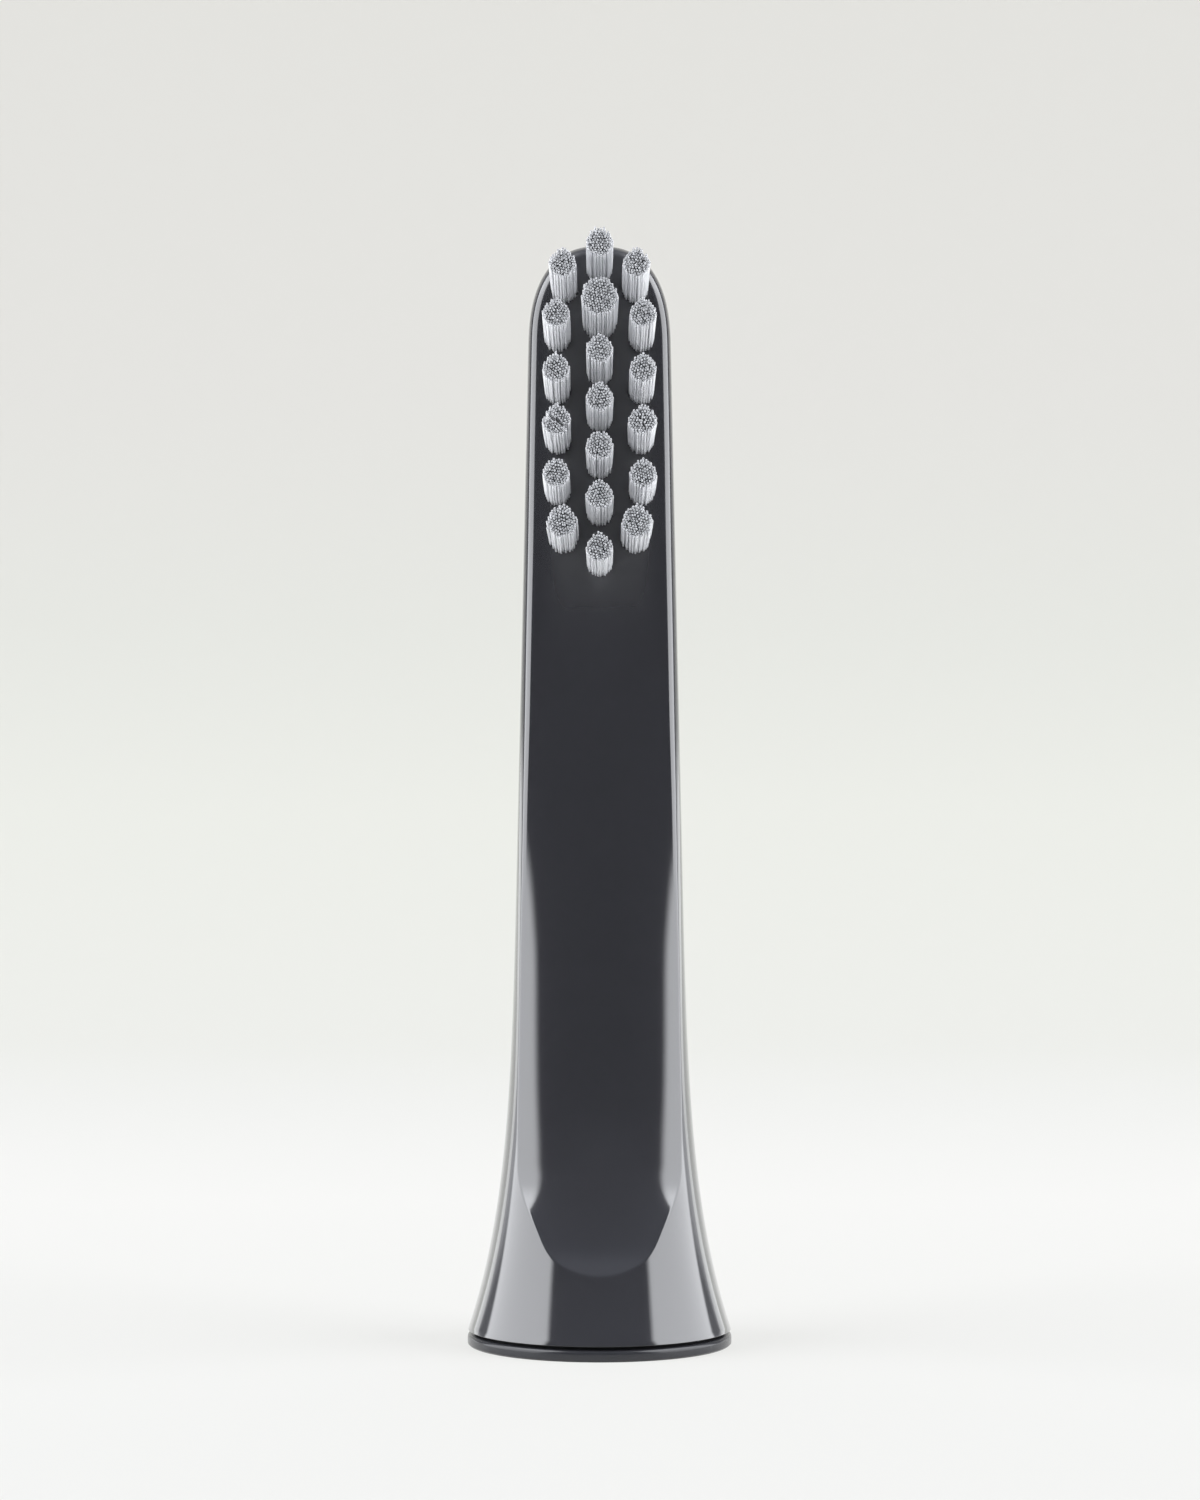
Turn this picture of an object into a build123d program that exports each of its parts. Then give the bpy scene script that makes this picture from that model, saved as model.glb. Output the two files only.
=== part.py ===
from build123d import *
import math
import os

# Overall form, in millimetres: +Z along the drive axis, the bristles towards -Y, the base plane at Z = 0
total_height = 75.0
base_diameter = 18.0
neck_half_width = 6.39
neck_taper = 0.0219
flare_height = 37.0
flare_power = 4.3
arch_height = 6.8
arch_power = 2.5
head_flatness = 0.76
round_below = 6.0
flat_below_top = 21.0
skirt_step = 0.02
body_levels = 11
level_crowding = 1.6

# The scooped front face: where its U begins, how deep it lies and how strongly it is crowned
scoop_bottom = 5.5
scoop_angle = 28.0
scoop_length = 14.6
scoop_turn_rise = 2.5
scoop_turn_depth = 6.42
scoop_middle_rise = 6.6
scoop_middle_depth = 5.38
scoop_neck_depth = 4.15
head_length = 23.0
head_face_depth = 1.9
tip_face_depth = 1.5
face_edge_radius = 0.5
neck_crown_radius = 9.6
crown_run_in = 8.0
crown_run_out = 30.0
crown_end_below_top = 20.0
head_crown_radius = 45.0
face_rows = 20
face_run_out = 3.0

# Base ring and the mouth of the skirt
ring_height = 0.8
shadow_gap = 0.22
ring_land_inset = 0.5
ring_collar_length = 2.4
ring_wall = 0.6
ring_band_width = 2.35
ring_edge_radius = 0.3
ring_foot_chamfer = 0.1
skirt_recess_depth = 6.6
recess_top_wall = 1.85

# Drive insert, its socket and its spring
barrel_radius = 3.3
barrel_length = 9.0
nose_radius = 2.75
nose_length = 7.0
flange_radius = 4.3
flange_thickness = 1.0
socket_radius = 2.05
guide_length = 8.0
tip_bore_radius = 1.8
flat_offset = 1.2
flat_length = 7.0
insert_end_gap = 0.4
key_width = 1.2
key_height = 0.5
spring_thickness = 0.25
spring_width = 2.2
spring_foot = 0.9
spring_bow = 0.3
pocket_depth = 0.4
pocket_margin = 0.6
fit_clearance = 0.02
overshoot = 1.0

# Tufts: distances are measured down from the top of the head
centre_drops = [1.9, 5.45, 8.9, 12.05, 15.25, 18.45, 21.9]
side_drops = [3.25, 6.55, 10.15, 13.55, 17.05, 20.2]
side_offsets = [2.42, 2.85, 2.85, 2.82, 2.85, 2.45]
tuft_radius = 0.94
wide_tuft_radius = 1.2
last_tuft_radius = 1.04
bristle_length = 10.6
tuft_tilt = 2.4
hole_depth = 2.2
flute_count = 12
flute_depth = 0.12
fold_thickness = 0.5
anchor_height = 1.2
anchor_thickness = 0.3
anchor_bite = 0.18

ring_bore_radius = base_diameter / 2 - ring_band_width
skirt_bottom = ring_height + shadow_gap
shoulder = total_height - arch_height
skirt_radius = base_diameter / 2 - skirt_step
flare_at_skirt = (1 - skirt_bottom / flare_height) ** flare_power
flare_growth = (skirt_radius - neck_half_width + neck_taper * skirt_bottom) / flare_at_skirt
seat_floor = skirt_bottom + skirt_recess_depth
insert_bottom = seat_floor - flange_thickness
insert_top = insert_bottom + flange_thickness + barrel_length + nose_length


def half_width(z):
    """Half of the body's width at height z, seen from the front."""
    flare = max(0.0, 1 - z / flare_height) ** flare_power
    width = neck_half_width - neck_taper * z + flare_growth * flare
    rise = max(0.0, (z - shoulder) / arch_height)
    return width * (1 - rise**arch_power) ** (1 / arch_power)


def smooth_step(share):
    """Smooth change from 0 to 1, flat at both ends."""
    share = min(1.0, max(0.0, share))
    return share * share * (3 - 2 * share)


def depth_ratio(z):
    """Depth over width of the body's section: round at the skirt, flatter at the head."""
    span = total_height - flat_below_top - round_below
    return 1 - (1 - head_flatness) * smooth_step((z - round_below) / span)


def crown(z):
    """Curvature of the face from side to side: flat at the U, strongest at the neck, slight at the head."""
    neck = smooth_step((z - scoop_bottom) / crown_run_in)
    head = smooth_step((total_height - crown_end_below_top - z) / crown_run_out)
    slight = 1 / head_crown_radius
    return slight + (1 / neck_crown_radius - slight) * neck * head


def face_depth(z):
    """Distance of the head's face in front of the axis at height z."""
    share = (total_height - z) / head_length
    return tip_face_depth + (head_face_depth - tip_face_depth) * share


def tuft_rows():
    """Every tuft as name, sideways place, height and radius."""
    rows = []
    for number, drop in enumerate(centre_drops, start=1):
        radius = wide_tuft_radius if number == 2 else tuft_radius
        rows.append((f"tuft_centre_{number}", 0.0, total_height - drop, radius))
    for side, sign in (("left", -1), ("right", 1)):
        for number, (drop, offset) in enumerate(zip(side_drops, side_offsets), start=1):
            radius = last_tuft_radius if number == len(side_drops) else tuft_radius
            rows.append((f"tuft_{side}_{number}", sign * offset, total_height - drop, radius))
    return rows


def hole_plane(x, z):
    """Plane on the floor of a tuft hole, looking out along the tuft."""
    lean = math.radians(tuft_tilt)
    outward = Vector(0, -math.cos(lean), math.sin(lean))
    face_point = Vector(x, -face_depth(z), z)
    return Plane(origin=face_point - outward * hole_depth, x_dir=(1, 0, 0), z_dir=outward)


def anchor_plane(x, z):
    """Plane at the inner edge of a tuft's anchor plate."""
    return hole_plane(x, z).offset(fold_thickness)


def anchor_width(radius):
    return 2 * (radius + anchor_bite)


# Outer form of the body, lofted through oval sections
rise = shoulder - skirt_bottom
levels = [skirt_bottom + rise * (step / body_levels) ** level_crowding for step in range(body_levels + 1)]
levels += [shoulder + arch_height * math.sin(math.radians(a)) for a in (16, 32, 46, 58, 68, 76, 83, 89)]
with BuildPart() as outer_form:
    for level in levels:
        width = half_width(level)
        with BuildSketch(Plane.XY.offset(level)):
            Ellipse(width, width * depth_ratio(level))
    loft()

# Side view of the scooped face, from in front of the skirt up to past the top
with BuildLine() as face_line:
    start = half_width(scoop_bottom)
    neck_start = scoop_bottom + scoop_length
    head_start = total_height - head_length
    Spline(
        (scoop_bottom - face_run_out, start + face_run_out * math.tan(math.radians(scoop_angle))),
        (scoop_bottom, start),
        (scoop_bottom + scoop_turn_rise, scoop_turn_depth),
        (scoop_bottom + scoop_middle_rise, scoop_middle_depth),
        (neck_start, scoop_neck_depth),
        ((neck_start + head_start) / 2, (scoop_neck_depth + head_face_depth) / 2),
        (head_start, head_face_depth),
        (total_height, tip_face_depth),
        (total_height + face_run_out, face_depth(total_height + face_run_out)),
    )

# Space in front of the face, with a floor crowned from side to side
with BuildPart() as face_cut:
    reach = base_diameter / 2 + overshoot
    rows = []
    for step in range(face_rows + 1):
        point = face_line.line @ (step / face_rows)
        across = [reach * (i / 3 - 1) for i in range(7)]
        rows.append([Vector(x, crown(point.X) * x * x / 2 - point.Y, point.X) for x in across])
    floor = Face.make_surface_from_array_of_points(rows, tol=0.02, min_deg=3, max_deg=8)
    extrude(floor, amount=2 * base_diameter, dir=(0, -1, 0))

# Blind tuft holes, each with two slits that the anchor plate bites into
with BuildPart() as tuft_holes:
    for _, x, z, radius in tuft_rows():
        with BuildSketch(hole_plane(x, z)):
            Circle(radius + fit_clearance)
        extrude(amount=hole_depth + overshoot)
        with BuildSketch(anchor_plane(x, z)):
            Rectangle(anchor_width(radius), anchor_thickness)
        extrude(amount=anchor_height)

with BuildPart() as body_shell:
    add(outer_form.part)
    add(face_cut.part, mode=Mode.SUBTRACT)
    rim = body_shell.edges().sort_by(Edge.length)[-1]
    fillet(rim, face_edge_radius)

    # Mouth for the ring's collar, recess for the handle's neck and seat of the drive insert
    mouth_radius = ring_bore_radius + ring_wall
    recess_top_radius = half_width(seat_floor) - recess_top_wall
    with BuildSketch(Plane.XZ):
        with BuildLine():
            Polyline(
                (0, skirt_bottom - overshoot),
                (mouth_radius, skirt_bottom - overshoot),
                (mouth_radius, skirt_bottom + ring_collar_length),
                (ring_bore_radius, skirt_bottom + ring_collar_length),
                (recess_top_radius, seat_floor),
                (barrel_radius, seat_floor),
                (barrel_radius, seat_floor + barrel_length),
                (nose_radius, seat_floor + barrel_length),
                (nose_radius, insert_top + insert_end_gap),
                (0, insert_top + insert_end_gap),
                close=True,
            )
        make_face()
    revolve(axis=Axis.Z, mode=Mode.SUBTRACT)

    # Keyway beside the seat
    with BuildSketch(Plane.XY.offset(seat_floor)):
        with Locations((0, barrel_radius)):
            Rectangle(key_width, 2 * key_height)
    extrude(amount=barrel_length, mode=Mode.SUBTRACT)

    add(tuft_holes.part, mode=Mode.SUBTRACT)
body_shell.part.label = "body_shell"

with BuildPart() as base_ring:
    ring_radius = base_diameter / 2
    land_radius = ring_radius - ring_land_inset
    with BuildSketch(Plane.XZ):
        with BuildLine():
            Polyline(
                (ring_bore_radius, 0),
                (ring_radius, 0),
                (ring_radius, ring_height),
                (land_radius, ring_height),
                (land_radius, skirt_bottom),
                (mouth_radius, skirt_bottom),
                (mouth_radius, skirt_bottom + ring_collar_length),
                (ring_bore_radius, skirt_bottom + ring_collar_length),
                close=True,
            )
        make_face()
    revolve(axis=Axis.Z)
    rims = base_ring.edges().filter_by(GeomType.CIRCLE).group_by(lambda edge: round(edge.radius, 4))[-1]
    fillet(rims.sort_by(Axis.Z)[-1], ring_edge_radius)
    chamfer(rims.sort_by(Axis.Z)[0], ring_foot_chamfer)
base_ring.part.label = "base_ring"

with BuildPart() as drive_insert:
    with BuildSketch(Plane.XZ):
        with BuildLine():
            Polyline(
                (0, insert_bottom),
                (flange_radius, insert_bottom),
                (flange_radius, seat_floor),
                (barrel_radius, seat_floor),
                (barrel_radius, seat_floor + barrel_length),
                (nose_radius, seat_floor + barrel_length),
                (nose_radius, insert_top),
                (0, insert_top),
                close=True,
            )
        make_face()
    revolve(axis=Axis.Z)
    with BuildSketch(Plane.XY.offset(seat_floor)):
        with Locations((0, barrel_radius - key_height / 2)):
            Rectangle(key_width - 2 * fit_clearance, 2 * key_height)
    extrude(amount=barrel_length - fit_clearance)

    # Round guide bore, then the flatted bore with a pocket for the spring
    guide_top = insert_bottom + guide_length
    with BuildSketch(Plane.XY.offset(insert_bottom)):
        Circle(socket_radius)
    extrude(amount=guide_length, mode=Mode.SUBTRACT)
    with BuildSketch(Plane.XY.offset(guide_top)) as flatted:
        Circle(tip_bore_radius)
        with Locations((0, flat_offset)):
            Rectangle(3 * socket_radius, socket_radius, align=(Align.CENTER, Align.MIN), mode=Mode.SUBTRACT)
    extrude(amount=flat_length, mode=Mode.SUBTRACT)
    pocket_bottom = guide_top + pocket_margin
    pocket_length = flat_length - 2 * pocket_margin
    with BuildSketch(Plane.XY.offset(pocket_bottom)):
        with Locations((0, flat_offset)):
            Rectangle(spring_width + 2 * fit_clearance, pocket_depth, align=(Align.CENTER, Align.MIN))
    extrude(amount=pocket_length, mode=Mode.SUBTRACT)
drive_insert.part.label = "drive_insert"

with BuildPart() as shaft_spring:
    pocket_back = flat_offset + pocket_depth
    spring_bottom = pocket_bottom + fit_clearance
    spring_top = pocket_bottom + pocket_length - fit_clearance
    middle = (spring_bottom + spring_top) / 2
    with BuildSketch(Plane.YZ.offset(-spring_width / 2)):
        with BuildLine():
            low_foot = Line((pocket_back, spring_bottom), (pocket_back, spring_bottom + spring_foot))
            bow = ThreePointArc(
                low_foot @ 1,
                (pocket_back - spring_bow, middle),
                (pocket_back, spring_top - spring_foot),
            )
            high_foot = Line(bow @ 1, (pocket_back, spring_top))
            inner = pocket_back - spring_thickness
            Line(high_foot @ 1, (inner, spring_top))
            Line((inner, spring_top), (inner, spring_top - spring_foot))
            ThreePointArc(
                (inner, spring_top - spring_foot),
                (inner - spring_bow, middle),
                (inner, spring_bottom + spring_foot),
            )
            Line((inner, spring_bottom + spring_foot), (inner, spring_bottom))
            Line((inner, spring_bottom), low_foot @ 0)
        make_face()
    extrude(amount=spring_width)
shaft_spring.part.label = "shaft_spring"

with BuildPart() as tuft_anchors:
    for _, x, z, radius in tuft_rows():
        with BuildSketch(anchor_plane(x, z)):
            Rectangle(anchor_width(radius) - fit_clearance, anchor_thickness - fit_clearance)
        extrude(amount=anchor_height)
tuft_anchors.part.label = "tuft_anchors"


def make_tuft(name, x, z, radius):
    """One folded bundle of filaments: fluted sides, rounded fold and a window for its anchor."""
    root = hole_plane(x, z)
    outline = []
    for step in range(2 * flute_count):
        turn = math.pi * step / flute_count
        reach = radius - flute_depth * (step % 2)
        outline.append((reach * math.cos(turn), reach * math.sin(turn)))
    with BuildPart() as tuft:
        with BuildSketch(root):
            Polygon(*outline, align=None)
        extrude(amount=hole_depth + bristle_length)
        fold = Plane(origin=root.origin, x_dir=root.y_dir, z_dir=root.x_dir)
        with BuildSketch(fold.offset(-radius)) as side_view:
            with BuildLine():
                ThreePointArc((-radius, radius), (0, 0), (radius, radius))
                Polyline(
                    (radius, radius),
                    (radius, hole_depth + bristle_length),
                    (-radius, hole_depth + bristle_length),
                    (-radius, radius),
                )
            make_face()
        extrude(amount=2 * radius, mode=Mode.INTERSECT)
        with BuildSketch(anchor_plane(x, z)):
            Rectangle(2 * anchor_width(radius), anchor_thickness)
        extrude(amount=anchor_height, mode=Mode.SUBTRACT)
    tuft.part.label = name
    return tuft.part


os.makedirs("parts", exist_ok=True)
export_step(body_shell.part, "parts/body_shell.step")
export_step(base_ring.part, "parts/base_ring.step")
export_step(drive_insert.part, "parts/drive_insert.step")
export_step(shaft_spring.part, "parts/shaft_spring.step")
export_step(tuft_anchors.part, "parts/tuft_anchors.step")
for name, x, z, radius in tuft_rows():
    export_step(make_tuft(name, x, z, radius), f"parts/{name}.step")
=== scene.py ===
import math

import bmesh
import bpy
import numpy as np
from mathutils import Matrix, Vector


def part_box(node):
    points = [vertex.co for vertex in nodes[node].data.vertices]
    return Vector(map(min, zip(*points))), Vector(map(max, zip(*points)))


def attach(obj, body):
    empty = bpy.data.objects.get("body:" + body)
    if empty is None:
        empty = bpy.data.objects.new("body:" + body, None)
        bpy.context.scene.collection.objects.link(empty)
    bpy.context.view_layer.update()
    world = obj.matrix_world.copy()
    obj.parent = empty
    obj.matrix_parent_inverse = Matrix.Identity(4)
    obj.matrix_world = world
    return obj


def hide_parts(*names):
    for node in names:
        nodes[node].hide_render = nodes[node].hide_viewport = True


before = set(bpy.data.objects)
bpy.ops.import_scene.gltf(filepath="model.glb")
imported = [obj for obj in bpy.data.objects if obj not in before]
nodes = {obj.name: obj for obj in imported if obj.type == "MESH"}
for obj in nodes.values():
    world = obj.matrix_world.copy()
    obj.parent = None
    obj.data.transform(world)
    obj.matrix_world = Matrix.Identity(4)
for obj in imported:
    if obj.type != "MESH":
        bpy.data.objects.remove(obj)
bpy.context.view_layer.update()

# The head's sizes in millimetres
MM = 0.001
TOTAL_HEIGHT = 75.0
BASE_RADIUS = 9.0
NECK_HALF_WIDTH = 6.39
NECK_TAPER = 0.0219
FLARE_HEIGHT = 37.0
FLARE_POWER = 4.3
FLARE_GROWTH = 2.946
ARCH_HEIGHT = 6.8
ARCH_POWER = 2.5
SHOULDER = TOTAL_HEIGHT - ARCH_HEIGHT
HEAD_FLATNESS = 0.76
ROUND_BELOW = 6.0
FLAT_ABOVE = 54.0

# The face's curve from side to side, which is nearly flat at both ends and stronger on the neck
CROWN_AT_ENDS = 45.0
CROWN_ON_NECK = 9.1
CROWN_START = 5.5
CROWN_RUN_IN = 7.0
CROWN_END = 58.0
CROWN_RUN_OUT = 33.0

# The rounded rim between the outer form and the face
RIM_AT_NECK = 0.4
RIM_AT_HEAD = 0.85
RIM_GROWS_FROM = 24.0
RIM_GROWS_OVER = 20.0
SHARPEST_CORNER = 0.98

# The skirt's lower edge, the mouth inside it and the ring
SKIRT_BOTTOM = 1.02
SKIRT_EDGE = 0.025
MOUTH_RADIUS = 7.25
RECESS_RADIUS = 6.3
RECESS_CHAMFER = 0.15
RECESS_TOP = 7.62
INSERT_RADIUS = 3.3
RING_HEIGHT = 0.8
RING_BORE = 6.65
RING_COLLAR_TOP = 3.42
RING_LAND = 8.5
RING_EDGE = 0.3
RING_FOOT = 0.1
RING_LAND_GAP = 0.005
RING_SEAT_GAP = 0.01
# Radius inside which the ring's groove gets painted shade
RING_GROOVE = BASE_RADIUS - 0.32

# Heights up the face's middle line, and its depth in front of the axis there
FACE_LINE = [
    (2.5, 9.5),
    (5.51, 7.74),
    (6.4, 7.09),
    (8.05, 6.38),
    (9.4, 5.99),
    (11.5, 5.5),
    (13.5, 5.08),
    (15.5, 4.71),
    (20.2, 4.12),
    (26.2, 3.65),
    (33.0, 3.23),
    (37.1, 2.94),
    (41.2, 2.67),
    (45.3, 2.4),
    (49.4, 2.17),
    (54.8, 1.98),
    (61.0, 1.83),
    (70.0, 1.74),
    (78.0, 1.68),
]

# How finely the body is meshed: columns round it, and rows up to each height
FACE_COLUMNS = 64
BACK_COLUMNS = 52
BACK_CROWDING = 1.5
LEAST_FACE_SHARE = 0.3
MOST_FACE_SHARE = 0.985
CREASE_STEPS = 40
SURFACE_STEPS = 26
OUTLINE_MARGIN = 1.0005
BODY_ROWS = [(4.4, 11), (9.0, 57), (22.0, 59), (SHOULDER, 89)]
SKIRT_EDGE_ROWS = 5
ARCH_ROWS = 64
ARCH_CROWDING = 1.2
TOP_FLAT = 0.002
RING_COLUMNS = 192
RING_EDGE_ROWS = 6
SMOOTH_BELOW = math.radians(30)

# The rays that find the body's outline start further back up the head, where its front is scooped
RAYS_BACK = 0.3
RAYS_BACK_FROM = 20.0
RAYS_BACK_OVER = 30.0


def smooth_step(share):
    share = np.clip(share, 0, 1)
    return share * share * (3 - 2 * share)


def spline_bends(heights, depths):
    """Second derivatives of the natural cubic spline through the points."""
    count = len(heights)
    step = np.diff(heights)
    matrix = np.eye(count)
    right = np.zeros(count)
    for i in range(1, count - 1):
        matrix[i, i - 1 : i + 2] = step[i - 1], 2 * (step[i - 1] + step[i]), step[i]
        right[i] = 6 * ((depths[i + 1] - depths[i]) / step[i] - (depths[i] - depths[i - 1]) / step[i - 1])
    return np.linalg.solve(matrix, right)


FACE_HEIGHTS, FACE_DEPTHS = np.array(FACE_LINE).T
FACE_BENDS = spline_bends(FACE_HEIGHTS, FACE_DEPTHS)


def centre_depth(z):
    """Depth of the face at its middle line."""
    i = np.clip(np.searchsorted(FACE_HEIGHTS, z) - 1, 0, len(FACE_LINE) - 2)
    step = FACE_HEIGHTS[i + 1] - FACE_HEIGHTS[i]
    after = (z - FACE_HEIGHTS[i]) / step
    before = 1 - after
    bend = (before**3 - before) * FACE_BENDS[i] + (after**3 - after) * FACE_BENDS[i + 1]
    return before * FACE_DEPTHS[i] + after * FACE_DEPTHS[i + 1] + bend * step * step / 6


def straight_width(z):
    """Half width of the body, without the arch of its top."""
    flare = np.clip(1 - z / FLARE_HEIGHT, 0, None) ** FLARE_POWER
    return NECK_HALF_WIDTH - NECK_TAPER * z + FLARE_GROWTH * flare


def arch_share(z):
    """Share of the width that is left at a height in the arch."""
    rise = np.clip((z - SHOULDER) / ARCH_HEIGHT, 0, 1)
    return (1 - rise**ARCH_POWER) ** (1 / ARCH_POWER)


def depth_ratio(z):
    """Depth of the body over its width, 1 at the round foot."""
    return 1 - (1 - HEAD_FLATNESS) * smooth_step((z - ROUND_BELOW) / (FLAT_ABOVE - ROUND_BELOW))


def crown(z):
    """Curvature of the face from side to side."""
    neck = smooth_step((z - CROWN_START) / CROWN_RUN_IN)
    head = smooth_step((CROWN_END - z) / CROWN_RUN_OUT)
    return 1 / CROWN_AT_ENDS + (1 / CROWN_ON_NECK - 1 / CROWN_AT_ENDS) * neck * head


def rim_radius(z):
    return RIM_AT_NECK + (RIM_AT_HEAD - RIM_AT_NECK) * smooth_step((z - RIM_GROWS_FROM) / RIM_GROWS_OVER)


def beyond_outer(x, y, z):
    """Below 0 inside the outer form, 0 on its surface."""
    width = straight_width(z)
    across = np.hypot(x / width, y / (width * depth_ratio(z)))
    rise = np.clip((z - SHOULDER) / ARCH_HEIGHT, 0, None)
    return (across**ARCH_POWER + rise**ARCH_POWER) ** (1 / ARCH_POWER) - 1


def beyond_face(x, y, z):
    """Below 0 behind the scooped face, 0 on it."""
    return crown(z) * x * x / 2 - centre_depth(z) - y


def distance(form, x, y, z):
    """Signed distance to a form's surface, and the direction it grows in."""
    nudge = 0.002
    here = form(x, y, z)
    there = (form(x + nudge, y, z), form(x, y + nudge, z), form(x, y, z + nudge))
    slope = np.stack([value - here for value in there]) / nudge
    size = np.linalg.norm(slope, axis=0)
    return here / size, slope / size


def beyond_body(x, y, z):
    """Below 0 inside the body, whose rim between the outer form and the face is rounded."""
    outer, outer_way = distance(beyond_outer, x, y, z)
    face, face_way = distance(beyond_face, x, y, z)
    cosine = np.clip((outer_way * face_way).sum(axis=0), -SHARPEST_CORNER, SHARPEST_CORNER)
    radius = rim_radius(z)
    outer, face = outer + radius, face + radius
    in_corner = (outer > cosine * face) & (face > cosine * outer)
    reach = np.sqrt(np.clip(outer**2 + face**2 - 2 * outer * face * cosine, 0, None) / (1 - cosine**2))
    return np.where(in_corner, reach, np.maximum(outer, face)) - radius


def crease_half_width(z, width, depth):
    """Half width at which the face meets the outer form."""
    low, high = 0.0, width
    for _ in range(CREASE_STEPS):
        middle = (low + high) / 2
        front = -depth * math.sqrt(max(0.0, 1 - (middle / width) ** 2))
        if front < float(beyond_face(middle, 0.0, z)):
            low = middle
        else:
            high = middle
    return low


def sharp_outline(z, width, depth):
    """Outline at one height before its rim is rounded, with points that crowd at the rim."""
    face_share = crease_half_width(z, width, depth) / width
    rim = min((face_share**4 + LEAST_FACE_SHARE**4) ** 0.25, MOST_FACE_SHARE) * width
    face_x = rim * np.sin(np.linspace(-1, 1, FACE_COLUMNS + 1) * math.pi / 2)
    face_y = np.maximum(-depth * np.sqrt(1 - (face_x / width) ** 2), beyond_face(face_x, 0.0, z))
    turn = math.asin(rim / width)
    half = turn + (math.pi - turn) * np.linspace(0, 1, BACK_COLUMNS + 1)[1:] ** BACK_CROWDING
    right_x, right_y = width * np.sin(half), -depth * np.cos(half)
    x = np.concatenate((face_x, right_x, -right_x[-2::-1]))
    y = np.concatenate((face_y, right_y, right_y[-2::-1]))
    return x, y


def section(z, inset=0.0):
    """Outline of the body at one height, found along rays from a point well inside it."""
    width = float(straight_width(z) * arch_share(z))
    depth = float(width * depth_ratio(z))
    x, y = sharp_outline(z, width, depth)
    start = RAYS_BACK * depth * float(smooth_step((z - RAYS_BACK_FROM) / RAYS_BACK_OVER))
    away = np.stack((x, y - start))
    reach = np.linalg.norm(away, axis=0)
    away /= reach
    low, high = np.zeros_like(reach), reach * OUTLINE_MARGIN
    for _ in range(SURFACE_STEPS):
        middle = (low + high) / 2
        inside = beyond_body(away[0] * middle, start + away[1] * middle, z) < 0
        low = np.where(inside, middle, low)
        high = np.where(inside, high, middle)
    scale = 1 - inset / width
    return np.stack((away[0] * low * scale, (start + away[1] * low) * scale, np.full_like(low, z)), axis=1)


def mesh_object(name, points, faces):
    """A closed mesh in the shared frame from points in millimetres, with its faces pointing outwards."""
    mesh = bpy.data.meshes.new(name)
    mesh.from_pydata([tuple(p * MM for p in point) for point in points], [], faces)
    shape = bmesh.new()
    shape.from_mesh(mesh)
    bmesh.ops.remove_doubles(shape, verts=shape.verts, dist=1e-8)
    bmesh.ops.recalc_face_normals(shape, faces=shape.faces)
    if shape.calc_volume(signed=True) < 0:
        bmesh.ops.reverse_faces(shape, faces=shape.faces)
    shape.to_mesh(mesh)
    shape.free()
    mesh.shade_smooth()
    mesh.set_sharp_from_angle(angle=SMOOTH_BELOW)
    made = bpy.data.objects.new(name, mesh)
    bpy.context.scene.collection.objects.link(made)
    return made


def skin(name, rows, first=None, last=None):
    """A mesh over closed rows of equally many points. The ends close in a point, or else on each other."""
    size = len(rows[0])
    points = [tuple(point) for row in rows for point in row]
    faces = []
    pairs = list(zip(range(len(rows) - 1), range(1, len(rows))))
    if first is None:
        pairs.append((len(rows) - 1, 0))
    for a, b in pairs:
        for k in range(size):
            after = (k + 1) % size
            faces.append((a * size + k, a * size + after, b * size + after, b * size + k))
    if first is not None:
        points += [first, last]
        end = (len(rows) - 1) * size
        for k in range(size):
            after = (k + 1) % size
            faces.append((after, k, len(points) - 2))
            faces.append((end + k, end + after, len(points) - 1))
    return mesh_object(name, points, faces)


def circle_row(radius, z, turns):
    return np.stack((radius * np.sin(turns), -radius * np.cos(turns), np.full_like(turns, z)), axis=1)


def skirt_edge_rows():
    """The small rounding of the skirt's lower edge."""
    rows = []
    for step in range(SKIRT_EDGE_ROWS):
        turn = math.pi / 2 * (1 - step / SKIRT_EDGE_ROWS)
        z = SKIRT_BOTTOM + SKIRT_EDGE * (1 - math.sin(turn))
        rows.append(section(z, inset=SKIRT_EDGE * (1 - math.cos(turn))))
    return rows


def wall_rows():
    """The skirt, neck and head up to the shoulder, closer together at the foot of the face."""
    rows = []
    low = SKIRT_BOTTOM + SKIRT_EDGE
    for high, count in BODY_ROWS:
        rows += [section(float(z)) for z in np.linspace(low, high, count + 1)[:-1]]
        low = high
    return rows + [section(SHOULDER)]


def arch_rows():
    """The arch over the head, closer together at its top."""
    rows = []
    for share in np.linspace(0, 1, ARCH_ROWS + 1)[1:-1]:
        turn = math.pi / 2 * (1 - (1 - share) ** ARCH_CROWDING)
        rows.append(section(SHOULDER + ARCH_HEIGHT * math.sin(turn) ** (2 / ARCH_POWER)))
    return rows


def make_body():
    """The moulding: its hollow inside from the recess down to the mouth, then its outside up to the top."""
    outside = skirt_edge_rows() + wall_rows() + arch_rows()
    turns = np.arctan2(outside[0][:, 0], -outside[0][:, 1])
    profile = [
        (INSERT_RADIUS, RECESS_TOP),
        (RECESS_RADIUS - RECESS_CHAMFER, RECESS_TOP),
        (RECESS_RADIUS, RECESS_TOP - RECESS_CHAMFER),
        (RING_BORE, RING_COLLAR_TOP),
        (MOUTH_RADIUS, RING_COLLAR_TOP),
        (MOUTH_RADIUS, SKIRT_BOTTOM),
    ]
    inside = [circle_row(radius, z, turns) for radius, z in profile]
    top = (0.0, 0.0, TOTAL_HEIGHT - TOP_FLAT)
    return skin("body_moulding", inside + outside, first=(0.0, 0.0, RECESS_TOP), last=top)


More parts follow.
